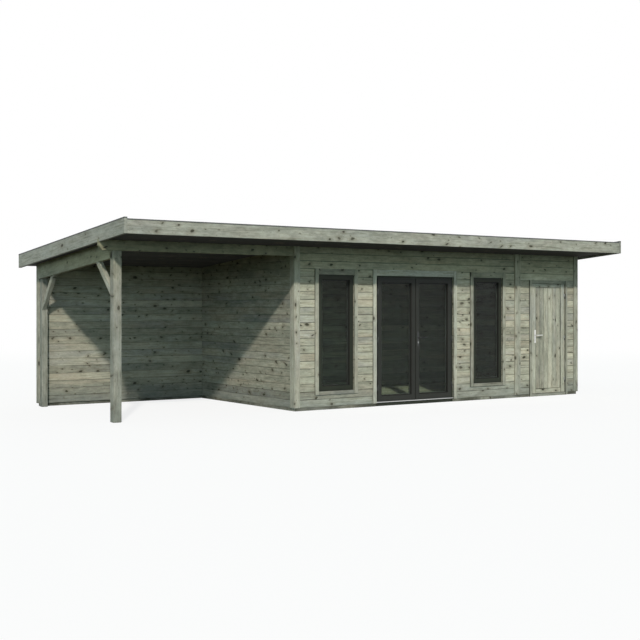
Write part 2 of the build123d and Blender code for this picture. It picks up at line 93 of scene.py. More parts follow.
class Net:
    """A node tree that is filled by one method."""

    def __init__(self, tree):
        self.tree = tree

    def add(self, kind, sockets=None, **settings):
        """New node: its settings first, then the values or links of its sockets."""
        node = self.tree.nodes.new(kind)
        for key, value in settings.items():
            setattr(node, key, value)
        for key, value in (sockets or {}).items():
            if isinstance(key, int):
                socket = node.inputs[key]
            else:
                socket = [s for s in node.inputs if s.enabled and s.name == key][0]
            if isinstance(value, Term):
                self.tree.links.new(value.socket, socket)
            elif socket.type == "RGBA" and len(value) == 3:
                socket.default_value = (*value, 1)
            else:
                socket.default_value = value
        shown = [s for s in node.outputs if s.enabled]
        return Term(self, shown[0]) if shown else node

    def blend(self, factor, a, b):
        """Colour a, turning to b as factor goes to 1."""
        return self.add("ShaderNodeMix", {0: factor, 6: a, 7: b}, data_type="RGBA").out("Result")

    def mix(self, factor, a, b):
        """Shader a, turning to b as factor goes to 1."""
        return self.add("ShaderNodeMixShader", {0: factor, 1: a, 2: b})

    def vector(self, operation, *values):
        return self.add("ShaderNodeVectorMath", dict(enumerate(values)), operation=operation)

    def scaled(self, colour, factor):
        """A colour made lighter or darker, or a place drawn out."""
        return self.add("ShaderNodeVectorMath", {0: colour, "Scale": factor}, operation="SCALE")

    def join(self, x, y, z):
        return self.add("ShaderNodeCombineXYZ", {0: x, 1: y, 2: z})

    def split(self, vector):
        node = self.add("ShaderNodeSeparateXYZ", {0: vector})
        return node.out("X"), node.out("Y"), node.out("Z")

    def noise(self, vector, detail=2.0, rough=0.5):
        sockets = {"Vector": vector, "Scale": 1.0, "Detail": detail, "Roughness": rough}
        return self.add("ShaderNodeTexNoise", sockets).out("Fac")

    def place(self):
        """The place on the object."""
        return self.add("ShaderNodeTexCoord").out("Object")

    def seen(self):
        """1 for what the camera sees, itself or in glass and metal."""
        path = self.add("ShaderNodeLightPath")
        return path.most(path.out("Is Glossy Ray")).most(path.out("Is Transmission Ray"))

    def end(self, shader):
        self.add("ShaderNodeOutputMaterial", {"Surface": shader})

    def coat(self, sockets, height=None, strength=0.0, distance=0.0):
        """Ends a material in one coat, made uneven by height."""
        if height is not None:
            bump = {"Height": height, "Strength": strength, "Distance": distance}
            sockets["Normal"] = self.add("ShaderNodeBump", bump)
        self.end(self.add("ShaderNodeBsdfPrincipled", sockets))


def material_net(name):
    """A new material with an empty node tree."""
    material = bpy.data.materials.new(name)
    material.use_nodes = True
    material.node_tree.nodes.clear()
    return material, Net(material.node_tree)


scene = bpy.context.scene
scene.view_settings.view_transform = "Standard"

FLOOR_REACH = 90.0  # radius of the floor
FLOOR_DIM = (0.058, 0.060, 0.029)  # the floor as the light under the roof meets it
FLOOR_GLOW = 0.80  # share of the floor that shows no shadow

floor_mesh = bpy.data.meshes.new("studio_floor")
bearings = [math.radians(a) for a in range(0, 360, 5)]
rim = [(FLOOR_REACH * math.cos(a), FLOOR_REACH * math.sin(a), 0.0) for a in bearings]
floor_mesh.from_pydata(rim, [], [tuple(range(len(rim)))])
studio_floor = bpy.data.objects.new("studio_floor", floor_mesh)
scene.collection.objects.link(studio_floor)
floor_finish, net = material_net("studio_floor")
away = net.vector("LENGTH", net.place())
pale = net.add("ShaderNodeBsdfDiffuse", {"Color": (0.96, 0.96, 0.96)})
glow = net.add("ShaderNodeEmission", {"Color": (1, 1, 1), "Strength": 1.0})
shown = net.mix(away.ramp(9.0, 26.0) * (1 - FLOOR_GLOW) + FLOOR_GLOW, pale, glow)
net.end(net.mix(net.seen(), net.add("ShaderNodeBsdfDiffuse", {"Color": FLOOR_DIM}), shown))
floor_mesh.materials.append(floor_finish)

SKYLINE = (1.680, 2.190, 2.320)  # cool light from low down all round
OVERHEAD = (0.260, 0.310, 0.330)  # and from above
world = bpy.data.worlds.new("studio")
scene.world = world
world.use_nodes = True
world.node_tree.nodes.clear()
net = Net(world.node_tree)
height = net.split(net.add("ShaderNodeTexCoord").out("Generated"))[2]
around = net.blend(height.ramp(0.0, 0.42), SKYLINE, OVERHEAD)
tone = net.blend(net.seen(), around, (1.0, 1.0, 1.0))
surround = net.add("ShaderNodeBackground", {"Color": tone, "Strength": 1.0})
net.add("ShaderNodeOutputWorld", {"Surface": surround})

KEY_WAY = Vector((0.586, 1.0, -0.736))  # the way that the key light travels
key = bpy.data.lights.new("key", "SUN")
key.energy = 2.90
key.angle = math.radians(2.6)
key.color = (1.0, 0.965, 0.890)
key_lamp = bpy.data.objects.new("key", key)
key_lamp.rotation_euler = KEY_WAY.to_track_quat("-Z", "Y").to_euler()
scene.collection.objects.link(key_lamp)

lens = bpy.data.cameras.new("view")
lens.sensor_width = 36
lens.lens = 61.69
lens.shift_y = -0.0203
lens.clip_end = 300
camera = bpy.data.objects.new("view", lens)
camera.location = (-10.2159, -14.7007, 1.53)
camera.rotation_euler = (math.radians(90), 0, math.radians(-33.9993))
scene.collection.objects.link(camera)
scene.camera = camera

# Base: pressure-treated beams laid flat on the ground under the walls, with joists let in
# between them. Each timber of the building is a sawn block with eased edges: one tree puts a
# blank at each place, draws it out to its size, turns it and marks how its grain runs.


def meshed(name, form):
    """Turns a finished bmesh into a mesh."""
    mesh = bpy.data.meshes.new(name)
    form.to_mesh(mesh)
    form.free()
    return mesh


def blank(name, ease, steps):
    """Small cube with eased edges, whose corners are drawn apart to make a timber."""
    form = bmesh.new()
    bmesh.ops.create_cube(form, size=4 * ease)
    bmesh.ops.bevel(form, geom=form.edges[:], offset=ease, segments=steps, profile=0.5, affect="EDGES")
    return bpy.data.objects.new(name, meshed(name, form))


def point_tree(name, more):
    """New tree that puts a blank on each point, with its net and its inputs."""
    tree = bpy.data.node_groups.new(name, "GeometryNodeTree")
    kinds = {"Geometry": "Geometry", "Blank": "Object", "Seed": "Int", "Finish": "Material", **more}
    for key, kind in kinds.items():
        tree.interface.new_socket(key, in_out="INPUT", socket_type="NodeSocket" + kind)
    tree.interface.new_socket("Geometry", in_out="OUTPUT", socket_type="NodeSocketGeometry")
    net = Net(tree)
    return tree, net, net.add("NodeGroupInput")


def read(net, name, kind="FLOAT_VECTOR"):
    """What a point says under a name."""
    return net.add("GeometryNodeInputNamedAttribute", {"Name": name}, data_type=kind)


def keep(net, geometry, name, value):
    """Writes a vector at each point under a name."""
    sockets = {"Geometry": geometry, "Name": name, "Value": value}
    return net.add("GeometryNodeStoreNamedAttribute", sockets, data_type="FLOAT_VECTOR")


def end_tree(net, given, copies):
    """Makes the copies real and gives them their finish."""
    whole = net.add("GeometryNodeRealizeInstances", {"Geometry": copies})
    sockets = {"Geometry": whole, "Material": given.out("Finish")}
    net.add("NodeGroupOutput", {"Geometry": net.add("GeometryNodeSetMaterial", sockets)})


def timber_tree():
    """Blocks on points: each point holds a size, a turn and the number of its log."""
    tree, net, given = point_tree("timber_blocks", {"Blank Size": "Float"})
    spread = {"Min": (0, 0, 0), "Max": (60, 60, 60), "ID": read(net, "log", "INT")}
    spread["Seed"] = given.out("Seed")
    draw = net.add("FunctionNodeRandomValue", spread, data_type="FLOAT_VECTOR")
    points = keep(net, given, "middle", net.add("GeometryNodeInputPosition"))
    points = keep(net, points, "draw", draw)
    shape = net.add("GeometryNodeObjectInfo", {"Object": given.out("Blank")}).out("Geometry")
    copies = net.add("GeometryNodeInstanceOnPoints", {"Points": points, "Instance": shape})
    solid = net.add("GeometryNodeRealizeInstances", {"Geometry": copies})
    size, middle, turn = read(net, "size"), read(net, "middle"), read(net, "turn")
    near = net.vector("SUBTRACT", net.add("GeometryNodeInputPosition"), middle)
    room = given.out("Blank Size") * 0.5
    drawn_out = net.vector("SUBTRACT", net.scaled(size, 0.5), net.join(room, room, room))
    corner = net.vector("MULTIPLY", net.vector("SIGN", near), drawn_out)
    solid = keep(net, solid, "local", net.vector("ADD", near, corner))
    local = read(net, "local")
    sockets = {"Vector": local, "Rotation": turn}
    turned = net.add("ShaderNodeVectorRotate", sockets, rotation_type="EULER_XYZ")
    sockets = {"Geometry": solid, "Position": net.vector("ADD", turned, middle)}
    placed = net.add("GeometryNodeSetPosition", sockets)
    sockets = {"Vector": middle, "Rotation": turn}
    unturned = net.add("ShaderNodeVectorRotate", sockets, rotation_type="EULER_XYZ", invert=True)
    along, y, z = net.split(net.vector("ADD", unturned, local))
    dx, dy, dz = net.split(read(net, "draw"))
    size_y, size_z = net.split(size)[1:]
    local_y, local_z = net.split(local)[1:]
    wide = size_y > size_z
    across = wide * (y - z) + z
    depth = wide * (z - y) + y
    off_middle = wide * (local_y - local_z) + local_z
    width = wide * (size_y - size_z) + size_z
    grained = keep(net, placed, "grain", net.join(along + dx, across + dy, depth + dz))
    tone = (dx * 13.7).part()
    end_tree(net, given, keep(net, grained, "board", net.join(off_middle, width * 0.5, tone)))
    return tree


def grown(name, tree, places, marks, blank, **given):
    """The plain mesh that a tree makes of a blank, on points that carry marks."""
    points = bpy.data.meshes.new(name + "_points")
    points.from_pydata(places, [], [])
    for key, values in marks.items():
        whole = isinstance(values[0], int)
        mark = points.attributes.new(key, "INT" if whole else "FLOAT_VECTOR", "POINT")
        for item, value in zip(mark.data, values):
            setattr(item, "value" if whole else "vector", value)
    source = bpy.data.objects.new(name + "_points", points)
    scene.collection.objects.link(source)
    modifier = source.modifiers.new(tree.name, "NODES")
    modifier.node_group = tree
    given["blank"] = blank
    for socket in tree.interface.items_tree:
        key = socket.name.lower().replace(" ", "_")
        if socket.in_out == "INPUT" and key in given:
            modifier[socket.identifier] = given[key]
    source.update_tag()
    graph = bpy.context.evaluated_depsgraph_get()
    mesh = bpy.data.meshes.new_from_object(source.evaluated_get(graph))
    bpy.data.objects.remove(source)
    bpy.data.objects.remove(blank)
    for key in (*marks, "middle", "draw", "local"):
        if key in mesh.attributes:
            mesh.attributes.remove(mesh.attributes[key])
    return mesh


def hand_over(name, mesh, body, nodes):
    """Puts a finished piece on its body, in place of the solids that it stands for."""
    mesh.name = name
    piece = bpy.data.objects.new(name, mesh)
    scene.collection.objects.link(piece)
    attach(piece, body)
    if nodes:
        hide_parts(*nodes)


TURNS = ((0, 0, 0), (0, 0, math.pi / 2), (0, -math.pi / 2, 0))
blocks = timber_tree()


def cut(low, high, run, log=None):
    """A timber between two corners, with its grain along axis run."""
    low, high = Vector(low), Vector(high)
    size = high - low
    order = ((0, 1, 2), (1, 0, 2), (2, 1, 0))[run]
    return (low + high) / 2, Vector([size[i] for i in order]), TURNS[run], log


def timbers(name, cuts, finish, *nodes, body="building", slot="timber", ease=0.002, steps=1,
            planes=(), lean=False, seed=1):
    """One piece of many timbers. Planes trim it, and lean sets its heights from the roof."""
    middles, sizes, turns, logs = zip(*cuts)
    logs = [i if log is None else log for i, log in enumerate(logs)]
    mesh = grown(name, blocks, middles, {"size": sizes, "turn": turns, "log": logs},
                 blank(name + "_blank", ease, steps), blank_size=4 * ease, seed=seed, finish=finish)
    form = bmesh.new()
    form.from_mesh(mesh)
    for point, normal in planes:
        parts = form.verts[:] + form.edges[:] + form.faces[:]
        bmesh.ops.bisect_plane(form, geom=parts, plane_co=point, plane_no=normal, clear_outer=True)
        open_edges = [e for e in form.edges if e.is_boundary]
        if open_edges:
            bmesh.ops.holes_fill(form, edges=open_edges, sides=0)
        bmesh.ops.recalc_face_normals(form, faces=form.faces[:])
    if lean:
        for v in form.verts:
            v.co.z += under(v.co.y)
    form.to_mesh(mesh)
    form.free()
    hand_over(name, mesh, body, nodes)


SAP = (0.428, 0.406, 0.320)  # pale treated spruce
LATE = (0.262, 0.256, 0.196)  # its darker year rings
SAGE = (0.308, 0.314, 0.250)  # where the treatment took more
TAN = (0.400, 0.352, 0.268)  # where it has worn off
SLATE = (0.262, 0.264, 0.252)  # where rain has greyed it
GREY = (0.335, 0.345, 0.312)  # a whole board that has greyed
SPLASH = (0.190, 0.208, 0.192)  # low down, where rain splashes up
EAVES_SHADE = (0.235, 0.222, 0.125)  # painted shade: darker, warmer wood under the roof
STREAK = (0.160, 0.155, 0.110)
FLECK = (0.130, 0.118, 0.080)
HALO = (0.142, 0.122, 0.084)  # round a knot
CHECK = (0.075, 0.070, 0.050)  # fine drying cracks
KNOT = (0.040, 0.037, 0.027)
# dirt in the joints, and painted shade on the edges and side faces of the boards
JOINT_DIRT_AND_SHADE = (0.030, 0.031, 0.022)
CELLS_ALONG, CELLS_ACROSS = 4.6, 8.5  # cells in a metre that may hold a knot


def timber_finish(name, light=1.0, grey=0.0, knots=0.5, joint=0.0, seam=0.006, splash=0.0,
                  eaves_shade=0.0):
    """Weathered treated spruce: year rings that flow round knots, streaks, patches and checks."""
    material, net = material_net(name)
    (along, across, depth), (off_middle, half, tone) = [
        net.split(net.add("ShaderNodeAttribute", attribute_name=key).out("Vector"))
        for key in ("grain", "board")
    ]
    height = net.split(net.place())[2]

    def grained(x, y, z, detail=2.0, rough=0.5, shift=0.0):
        """Noise that follows the grain, with so many waves in a metre each way."""
        return net.noise(net.join(along * x, across * y, depth * z + shift), detail, rough)

    mood = (tone * 17.3).part()
    sway = grained(2.0, 9.0, 3.0) - 0.5
    run, rise = along * CELLS_ALONG + sway, across * CELLS_ACROSS + sway * 0.5
    sockets = {"Vector": net.join(run, rise, 0.0), "Scale": 1.0, "Randomness": 0.95}
    cells = net.add("ShaderNodeTexVoronoi", sockets, voronoi_dimensions="2D")
    centre = net.split(cells.out("Position"))
    chance, girth, dark = net.split(cells.out("Color"))
    there = chance > (1 - (mood * 1.9 + 0.05) * knots)
    off_x, off_y = (run - centre[0]) / CELLS_ALONG, (rise - centre[1]) / CELLS_ACROSS
    stretch = off_x * (1 - dark * 0.45)
    reach = (stretch * stretch + off_y * off_y).power(0.5)
    wobble = grained(60.0, 60.0, 0.0) * 0.5 + 0.75
    radius = (girth * girth * 0.018 + 0.0075) * wobble
    knot = (1 - (reach / radius).ramp(0.55, 1.15)) * there
    halo = (1 - (reach / (radius * 3.0)).least(1.0)) * there
    swirl = (1 - (reach / (radius * 5.0)).least(1.0)) * there
    rings = across * 26.0 + depth * 30.0 + grained(0.55, 6.5, 6.5) * 10.0 + swirl * swirl * 2.4
    line = rings.wave().power(1.7)
    fibre = grained(5.0, 240.0, 240.0, 3.0, 0.6)
    streak = grained(2.2, 42.0, 42.0, 4.0, 0.65)
    smear = grained(9.0, 22.0, 22.0, 4.0, 0.7, 5.0)
    fleck = grained(22.0, 60.0, 60.0, 2.0, 0.5, 3.0)
    blotch = grained(3.4, 8.0, 8.0, 3.0, 0.6, 31.0)
    stain = grained(1.1, 4.2, 4.2, 3.0, 0.55)
    worn = grained(0.9, 5.0, 5.0, 3.0, 0.6, 9.0)
    damp = grained(0.7, 3.0, 3.0, 3.0, 0.6, 17.0)
    crack = grained(2.4, 110.0, 60.0, 2.0, 0.6).ramp(0.66, 0.74)
    wood = net.blend(line * 0.5, SAP, LATE)
    for share, colour in (
        (stain.ramp(0.40, 0.64) * 0.70, SAGE),
        (worn.ramp(0.48, 0.68) * 0.75, TAN),
        (damp.ramp(0.46, 0.70) * 0.60, SLATE),
        (mood.ramp(0.55, 1.0) * 0.35, SAGE),
        (grey, GREY),
        ((1 - height.ramp(0.04, 0.42)) * splash, SPLASH),
        # painted shade: the wood turns darker and warmer from 1.65 m up, under the roof
        (height.ramp(1.65, 2.25) * eaves_shade, EAVES_SHADE),
        (streak.ramp(0.48, 0.74) * 0.70, STREAK),
        (fleck.ramp(0.60, 0.76) * 0.45, FLECK),
    ):
        wood = net.blend(share, wood, colour)
    value = (fibre * 0.30 + smear * 0.95 + blotch * 0.80 + tone * 0.42 - 0.10) * light
    wood = net.scaled(wood, value)
    # Dirt and painted shade: darker within seam of each long board edge, so a narrow seam darkens the
    # whole side faces.
    edge = (abs(off_middle) - half + seam).ramp(0.0, seam * 0.6)
    gap = grained(2.2, 0.5, 0.0, 3.0, 0.6, 3.0).ramp(0.32, 0.64) * 0.72 + 0.28
    for share, colour in (
        (halo * 0.60, HALO),
        (crack * 0.6, CHECK),
        (knot * (dark * 0.35 + 0.60), KNOT),
        (edge * gap * joint, JOINT_DIRT_AND_SHADE),
    ):
        wood = net.blend(share, wood, colour)
    sockets = {"Base Color": wood, "Roughness": fibre * 0.18 + 0.72, "Specular IOR Level": 0.06}
    net.coat(sockets, fibre * 0.5 + line * 0.25 - knot * 0.3 - crack * 0.8, 0.6, 0.0024)
    return material


FALL = math.tan(math.radians(4.5))
Y_EDGE, UNDER_Z = -1.9875, 2.480  # front edge of the roof and its underside there


def under(y):
    """Height of the roof's underside at depth y."""
    return UNDER_Z - FALL * (y - Y_EDGE)


# Painted shade: the base beams are darker, for the shade at the foot of the walls.
bearer_finish = timber_finish("base_beam", light=0.74, grey=0.35, knots=0.35, joint=0.8)
x_cab, x_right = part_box("wall_rear")[0].x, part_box("wall_rear")[1].x
y_front, y_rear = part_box("wall_front")[0].y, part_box("wall_rear")[1].y
y_in0, y_in1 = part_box("wall_front")[1].y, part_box("wall_rear")[0].y
x_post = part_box("posts")[0].x
x_wall_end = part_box("wall_shelter")[0].x
base_low, base_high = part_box("base_long")
base_h = base_high.z
BASE_W, JOIST_W, JOISTS = 0.090, 0.045, 11
door_low, door_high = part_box("door_frame")
store_low, store_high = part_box("store_lining")
beams = []
for x0, x1 in ((x_cab, door_low.x), (door_high.x, store_low.x), (store_high.x, x_right)):
    beams.append(cut((x0, y_front, 0), (x1, y_front + BASE_W, base_h), 0))
for x0, x1 in ((base_low.x, x_cab), (x_cab, x_right)):
    beams.append(cut((x0, y_rear - BASE_W, 0), (x1, y_rear, base_h), 0))
joist_gap = (x_right - x_cab - 2 * BASE_W) / (JOISTS + 1)
spans = [(x_cab, BASE_W), (x_right - BASE_W, BASE_W)]
for i in range(JOISTS):
    spans.append((x_cab + BASE_W + joist_gap * (i + 1) - JOIST_W / 2, JOIST_W))
for x, width in spans:
    beams.append(cut((x, y_front + BASE_W, 0), (x + width, y_rear - BASE_W, base_h), 1))
timbers("base_timbers", beams, bearer_finish, "base_long", "base_cross", ease=0.003, seed=3)

# Floor: tongued boards laid across the joists, with short boards that fill the doorways.
BOARD = 0.120
floor_finish = timber_finish("floor_board", light=1.0, knots=0.45, joint=0.8)
floor_low, floor_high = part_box("floor")
laid = []
y = y_in0
while y < y_in1 - 0.001:
    end = min(y + BOARD, y_in1)
    laid.append(cut((floor_low.x, y, floor_low.z), (floor_high.x, end, floor_high.z), 0))
    y = end
for low, high in ((door_low, door_high), (store_low, store_high)):
    laid.append(cut((low.x, high.y, floor_low.z), (high.x, y_in0, floor_high.z), 0))
timbers("floor_boards", laid, floor_finish, "floor", slot="floor_board", ease=0.0015, seed=5)

# Walls: tongued and V-jointed spruce boards outside and inside, over a timber core. The
# courses start on the base beams and are cut to the slope of the roof.
COURSE = 0.114
SKIN = 0.022  # outer boards
LINER = 0.016  # inner boards
WALL = 0.110
V_JOINT = 0.0045
TOP, REAR_TOP = 2.42, 2.24  # above the roof's underside, which cuts the boards
# Painted shade: each finish's amount for the top of the wood darkens and warms it under the roof.
wall_finish = timber_finish("cladding", light=0.97, knots=0.46, joint=0.88, seam=0.0075, splash=0.7,
                            eaves_shade=0.6)
# Painted shade: a darker copy of the cladding, with more knots, for the side walls and the walls under
# the shelter roof.
shaded_cladding_finish = timber_finish("shelter_cladding", light=0.79, knots=0.66, joint=0.50,
                               seam=0.0075, splash=0.6, eaves_shade=0.6)
# Painted shade: the lining is darker, for the dim room seen through the glass.
shaded_liner_finish = timber_finish("wall_lining", light=0.58, knots=0.3, joint=0.4)
core_finish = timber_finish("wall_core", light=0.85, knots=0.2)
roof_plane = (Vector((0, Y_EDGE, UNDER_Z)), Vector((0, FALL, 1)).normalized())


def beside(a0, a1, z0, z1, holes):
    """What is left of a strip of wall beside, above and below its holes."""
    left = []
    a = a0
    for h0, h1, k0, k1 in sorted(h for h in holes if h[2] < z1 and h[3] > z0):
        left.append((a, h0, z0, z1))
        if k0 > z0:
            left.append((h0, h1, z0, k0))
        if k1 < z1:
            left.append((h0, h1, k1, z1))
        a = h1
    left.append((a, a1, z0, z1))
    return left


def courses(a0, a1, near, far, run, holes=(), top=TOP, core=False):
    """Boards of one face of a wall, between the depths near and far, or the timber behind them."""
    cuts = []
    z = base_h
    while z < top:
        end = top if core else z + COURSE
        for s0, s1, z0, z1 in beside(a0, a1, z, end, holes):
            low, high = ((near, s0, z0), (far, s1, z1)) if run else ((s0, near, z0), (s1, far, z1))
            cuts.append(cut(low, high, 2 if core else run))
        z = end
    return cuts


windows = [(-1.133, -0.483), (1.923, 2.573)]
frame_low, frame_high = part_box("window_frames")
holes = [(w0, w1, frame_low.z, frame_high.z) for w0, w1 in windows]
for low, high in ((door_low, door_high), (store_low, store_high)):
    holes.append((low.x, high.x, 0.0, high.z))
x_in0, x_in1 = x_cab + WALL, x_right - WALL
x_skin0, x_skin1, y_skin0, y_skin1 = x_cab + SKIN, x_right - SKIN, y_front + SKIN, y_rear - SKIN
x_liner0, x_liner1, y_liner0, y_liner1 = x_in0 - LINER, x_in1 + LINER, y_in0 - LINER, y_in1 + LINER
wall_parts = (
    (
        "front_walling",
        ("wall_front", "wall_over_doors"),
        courses(x_cab, x_right, y_front, y_skin0, 0, holes),
        courses(x_in0, x_in1, y_liner0, y_in0, 0, holes),
        courses(x_skin0, x_skin1, y_skin0, y_liner0, 0, holes, core=True),
    ),
    (
        "side_walling",
        ("wall_sides",),
        courses(y_skin0, y_skin1, x_cab, x_skin0, 1)
        + courses(y_skin0, y_skin1, x_skin1, x_right, 1),
        courses(y_in0, y_in1, x_liner0, x_in0, 1) + courses(y_in0, y_in1, x_in1, x_liner1, 1),
        courses(y_liner0, y_liner1, x_skin0, x_liner0, 1, core=True)
        + courses(y_liner0, y_liner1, x_liner1, x_skin1, 1, core=True),
    ),
    (
        "rear_walling",
        ("wall_rear",),
        courses(x_cab, x_right, y_skin1, y_rear, 0, top=REAR_TOP),
        courses(x_in0, x_in1, y_in1, y_liner1, 0, top=REAR_TOP),
        courses(x_skin0, x_skin1, y_liner1, y_skin1, 0, top=REAR_TOP, core=True),
    ),
    (
        "shelter_walling",
        ("wall_shelter",),
        courses(x_wall_end, x_cab, y_in1, y_in1 + SKIN, 0, top=REAR_TOP),
        [],
        courses(x_wall_end, x_cab, y_in1 + SKIN, y_skin1, 0, top=REAR_TOP, core=True),
    ),
)
for number, (name, nodes, outer, inner, middle) in enumerate(wall_parts):
    # the side and shelter walls take the darker copy, painted shade
    finish = wall_finish if name in ("front_walling", "rear_walling") else shaded_cladding_finish
    timbers(name, outer, finish, *nodes, slot="cladding", ease=V_JOINT, planes=[roof_plane],
            seed=11 + number)
    if inner:
        timbers(name + "_inside", inner, shaded_liner_finish, ease=0.003, planes=[roof_plane],
                seed=21 + number)
    timbers(name + "_core", middle, core_finish, ease=0.001, planes=[roof_plane],
            seed=31 + number)
timbers("shelter_walling_rear", courses(x_wall_end, x_cab, y_skin1, y_rear, 0, top=REAR_TOP),
        wall_finish, slot="cladding", ease=V_JOINT, planes=[roof_plane], seed=37)

# Trims: boards that cover the corners, the free end of the shelter wall, the joint above the
# partition line and the edges of the openings, screwed on over the cladding.
# Painted shade: the trims and casings also darken and warm towards the roof.
trim_finish = timber_finish("trim_board", light=0.90, grey=0.25, knots=0.55, splash=0.3,
                            eaves_shade=0.5)
# Painted shade: with so narrow a seam the casings' side faces and reveals are dark, with a thin dark
# line at their edges.
casing_finish = timber_finish("casing_board", light=0.77, grey=0.25, knots=0.45, joint=0.8,
                              seam=0.0022, splash=0.3, eaves_shade=0.5)
door_casing_finish = timber_finish("door_casing_board", light=1.22, grey=0.40, knots=0.20,
                                   joint=0.8, seam=0.0022, splash=0.3, eaves_shade=0.3)
TRIM = 0.020
TRIM_Z = base_h + 0.001
TRIM_TOP = 2.46  # above the roof's underside, which cuts the boards
CORNER_SIDE, CORNER_FRONT = 0.125, 0.098
corner_cuts = []
for x, y, dx, dy in ((x_cab, y_front, -1, -1), (x_right, y_front, 1, -1), (x_right, y_rear, 1, 1)):
    xa, ya = x + dx * TRIM, y + dy * TRIM
    for p, q in (((xa, ya), (xa - dx * CORNER_FRONT, y)), ((xa, y), (x, ya - dy * CORNER_SIDE))):
        low = (min(p[0], q[0]), min(p[1], q[1]), TRIM_Z)
        high = (max(p[0], q[0]), max(p[1], q[1]), TRIM_TOP)
        corner_cuts.append(cut(low, high, 2))
corner_cuts.append(cut((x_wall_end - TRIM, y_in1, TRIM_Z), (x_wall_end, y_rear, TRIM_TOP), 2))
timbers("corner_boards", corner_cuts, trim_finish, "corner_trims", ease=0.0025, steps=2,
        planes=[roof_plane], seed=41)
batten_low, batten_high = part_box("cover_batten")
timbers("cover_board", [cut(batten_low, (batten_high.x, batten_high.y, TRIM_TOP), 2)],
        trim_finish, "cover_batten", ease=0.0025, steps=2, planes=[roof_plane], seed=43)


def framed(low, high, side, top, foot=0.0):
    """Boards round an opening: two uprights with the others between them."""
    x0, x1 = low[0] + side, high[0] - side
    cuts = [
        cut(low, (x0, high[1], high[2]), 2),
        cut((x1, low[1], low[2]), high, 2),
        cut((x0, low[1], high[2] - top), (x1, high[1], high[2]), 0),
    ]
    if foot:
        cuts.append(cut((x0, low[1], low[2]), (x1, high[1], low[2] + foot), 0))
    return cuts


CASING = 0.066
y_face = y_front - TRIM
low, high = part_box("window_casings")
window_cuts = []
for w0, w1 in windows:
    window_cuts += framed((w0 - CASING, y_face, low.z), (w1 + CASING, y_front, high.z), CASING,
                          high.z - frame_high.z, frame_low.z - low.z)
timbers("window_surrounds", window_cuts, casing_finish, "window_casings", ease=0.0025, steps=2,
        seed=45)
case_low, case_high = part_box("door_casing")
door_cuts = framed(case_low, case_high, door_low.x - case_low.x, case_high.z - door_high.z)
timbers("door_surround", door_cuts, door_casing_finish, "door_casing", ease=0.0025, steps=2,
        seed=47)


def screw_tree():
    """Screw heads on points, each turned to the way that its board faces."""
    tree, net, given = point_tree("screw_heads", {})
    shape = net.add("GeometryNodeObjectInfo", {"Object": given.out("Blank")}).out("Geometry")
    sockets = {"Vector": read(net, "facing")}
    turned = net.add("FunctionNodeAlignRotationToVector", sockets, axis="Z")
    sockets = {"Min": 0.0, "Max": math.pi, "Seed": given.out("Seed")}
    twist = net.add("FunctionNodeRandomValue", sockets, data_type="FLOAT")
    spin = net.add("FunctionNodeEulerToRotation", {0: net.join(0.0, 0.0, twist)})
    both = net.add("FunctionNodeRotateRotation", {0: turned, 1: spin}, rotation_space="LOCAL")
    sockets = {"Points": given, "Instance": shape, "Rotation": both}
    end_tree(net, given, net.add("GeometryNodeInstanceOnPoints", sockets))
    return tree


def circle(form, place, across, up, radius, sides, start=0.0):
    """A loop of corners round a place."""
    turns = [2 * math.pi * (k + start) / sides for k in range(sides)]
    spokes = [across * math.cos(a) + up * math.sin(a) for a in turns]
    return [form.verts.new(place + spoke * radius) for spoke in spokes]


def bridge(form, loops):
    """Faces from each loop of corners to the next."""
    faces = []
    for a, b in zip(loops, loops[1:]):
        for k in range(len(a)):
            j = (k + 1) % len(a)
            faces.append(form.faces.new((a[k], a[j], b[j], b[k])))
    return faces


X_WAY, Y_WAY, Z_WAY = Vector((1, 0, 0)), Vector((0, 1, 0)), Vector((0, 0, 1))
HEAD_SIDES = 12


def screw_head():
    """A countersunk head, a hair proud of its board, with a square socket."""
    form = bmesh.new()
    rounds = [
        circle(form, Z_WAY * z, X_WAY, Y_WAY, r, HEAD_SIDES)
        for r, z in ((0.0040, -0.001), (0.0040, 0.0002), (0.0033, 0.0007))
    ]
    mouth, foot = [
        circle(form, Z_WAY * z, X_WAY, Y_WAY, 0.0017 * math.sqrt(2), 4, 0.5)
        for z in (0.0007, -0.0006)
    ]
    form.faces.new(rounds[0])
    form.faces.new(foot)
    bridge(form, rounds)
    bridge(form, [mouth, foot])
    rim = rounds[-1]
    for q in range(4):
        for a in range(q * 3, q * 3 + 3):
            form.faces.new((rim[a], rim[(a + 1) % HEAD_SIDES], mouth[q]))
        form.faces.new((rim[(q * 3 + 3) % HEAD_SIDES], mouth[(q + 1) % 4], mouth[q]))
    bmesh.ops.recalc_face_normals(form, faces=form.faces[:])
    return bpy.data.objects.new("screw_head", meshed("screw_head", form))


screw_blocks = screw_tree()


def screws(name, places, seed):
    """Screw heads at (place, facing) pairs, as one piece."""
    points, facings = zip(*places)
    marks = {"facing": facings}
    mesh = grown(name, screw_blocks, points, marks, screw_head(), seed=seed, finish=screw_coat)
    hand_over(name, mesh, "building", ())


def screw_finish(name):
    """Dull coated screws."""
    material, net = material_net(name)
    stain = net.noise(net.scaled(net.place(), 60.0), 2.0)
    tint = net.blend(stain.ramp(0.4, 0.7), (0.17, 0.17, 0.15), (0.10, 0.095, 0.08))
    net.coat({"Base Color": tint, "Metallic": 0.6, "Roughness": stain * 0.2 + 0.40})
    return material


def up_a_board(x, y, facing, z0, z1, pitch):
    """Places for screws up a board, evenly spaced."""
    count = max(round((z1 - z0) / pitch), 1)
    return [((x, y, z0 + (z1 - z0) * i / count), facing) for i in range(count + 1)]


